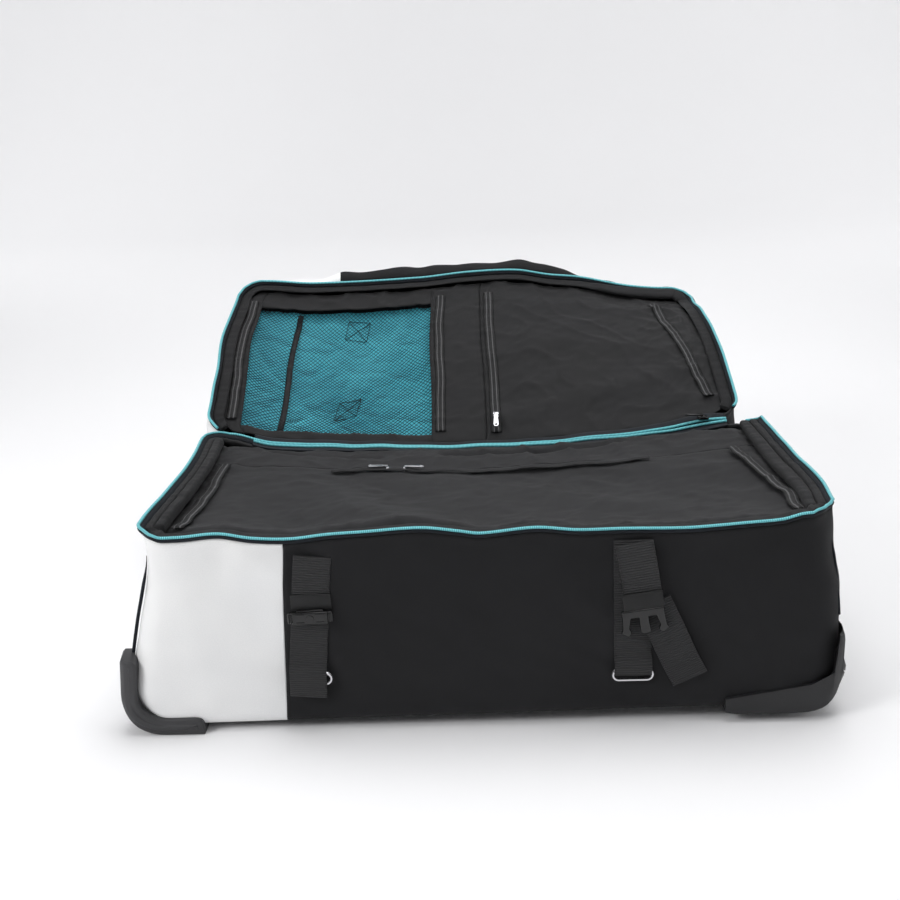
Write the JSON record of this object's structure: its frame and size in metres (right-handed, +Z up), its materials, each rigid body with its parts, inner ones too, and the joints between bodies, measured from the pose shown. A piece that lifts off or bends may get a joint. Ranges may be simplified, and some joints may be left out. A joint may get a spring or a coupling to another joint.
{
  "type": "ski bag",
  "caption": "Wheeled ski and travel bag, open like a clamshell: padded lower half with zipped cover, lid on a zip hinge with net window, corner guards, wheels and strap buckles.",
  "frame": {"origin": "on the floor under the middle of the open bag's outline", "axes": "+X along the bag's length towards its wheels, +Y from the strapped front side to the lid, +Z up"},
  "size_m": [0.792, 0.8046, 0.3795],
  "materials": {
    "white_cloth": "coated white cloth with a soft sheen",
    "black_cloth": "black twill",
    "inner_cloth": "plain dark inner cloth",
    "zip_tape": "woven black tape",
    "zip_coil": "teal moulded coil",
    "net": "fine black net",
    "lining": "teal lining",
    "board": "stiff sheet",
    "guard_plastic": "moulded, lightly textured",
    "buckle_plastic": "glossy moulded",
    "bright_metal": "bright plated",
    "wheel": "smooth tread on a plastic hub"
  },
  "bodies": {
    "bag": {"lower_wall_white": "white_cloth", "lid_shell_white": "white_cloth", "lower_wall_black": "black_cloth", "lid_shell_black": "black_cloth", "hinge_flap": "black_cloth", "left_strap_upper": "black_cloth", "left_strap_lower": "black_cloth", "left_strap_band": "black_cloth", "right_strap_vertical": "black_cloth", "right_strap_tail": "black_cloth", "right_strap_upper": "black_cloth", "right_strap_band": "black_cloth", "cover_panel": "inner_cloth", "lid_frame": "inner_cloth", "lid_pocket_panel": "inner_cloth", "lower_facing": "inner_cloth", "lid_facing": "inner_cloth", "lower_roll_left": "inner_cloth", "lower_roll_right": "inner_cloth", "lower_rim_tape": "zip_tape", "lid_rim_tape": "zip_tape", "hinge_zip_tape": "zip_tape", "cover_zip_left": "zip_tape", "cover_zip_right": "zip_tape", "cover_zip_back": "zip_tape", "lid_zip_left": "zip_tape", "lid_zip_centre": "zip_tape", "lid_zip_second": "zip_tape", "lid_zip_right": "zip_tape", "piping_left_front": "zip_tape", "piping_left_back": "zip_tape", "piping_right_front": "zip_tape", "piping_right_back": "zip_tape", "lower_rim_coil": "zip_coil", "lid_rim_coil": "zip_coil", "hinge_zip_coil": "zip_coil", "net_window": "net", "net_lining": "lining", "base_board": "board", "corner_guard_front": "guard_plastic", "corner_guard_back": "guard_plastic", "wheel_housing_front": "guard_plastic", "wheel_housing_back": "guard_plastic", "left_buckle": "buckle_plastic", "right_buckle": "buckle_plastic", "hinge_slider": "buckle_plastic", "left_ring": "bright_metal", "right_ring": "bright_metal", "cover_left_slider": "bright_metal", "cover_right_slider": "bright_metal", "lid_slider": "bright_metal"},
    "wheel_front": {"wheel_front": "wheel"},
    "wheel_back": {"wheel_back": "wheel"},
    "cover_left_tab": {"cover_left_tab": "bright_metal"},
    "cover_right_tab": {"cover_right_tab": "bright_metal"},
    "lid_tab": {"lid_tab": "bright_metal"},
    "hinge_tab": {"hinge_tab": "buckle_plastic"}
  },
  "joints": [
    {"name": "wheel_front_spin", "type": "hinge", "parent": "bag", "child": "wheel_front", "pos_m": [0.344, -0.352, 0.032], "axis": [0, 1, 0], "continuous": true},
    {"name": "wheel_back_spin", "type": "hinge", "parent": "bag", "child": "wheel_back", "pos_m": [0.344, -0.036, 0.032], "axis": [0, 1, 0], "continuous": true},
    {"name": "cover_left_tab_swing", "type": "hinge", "parent": "bag", "child": "cover_left_tab", "pos_m": [-0.11197, -0.11924, 0.21171], "axis": [-0.0003, 1, 0], "range_deg": [0, 105]},
    {"name": "cover_right_tab_swing", "type": "hinge", "parent": "bag", "child": "cover_right_tab", "pos_m": [-0.0909, -0.11923, 0.2109], "axis": [0.0005, -1, 0], "range_deg": [0, 105]},
    {"name": "lid_tab_swing", "type": "hinge", "parent": "bag", "child": "lid_tab", "pos_m": [0.02949, 0.05151, 0.22684], "axis": [-0.9998, 0.0166, 0.0073], "range_deg": [0, 150]},
    {"name": "hinge_tab_swing", "type": "hinge", "parent": "bag", "child": "hinge_tab", "pos_m": [0.308, -0.00005, 0.23154], "axis": [0, 1, 0], "range_deg": [0, 150]}
  ]
}
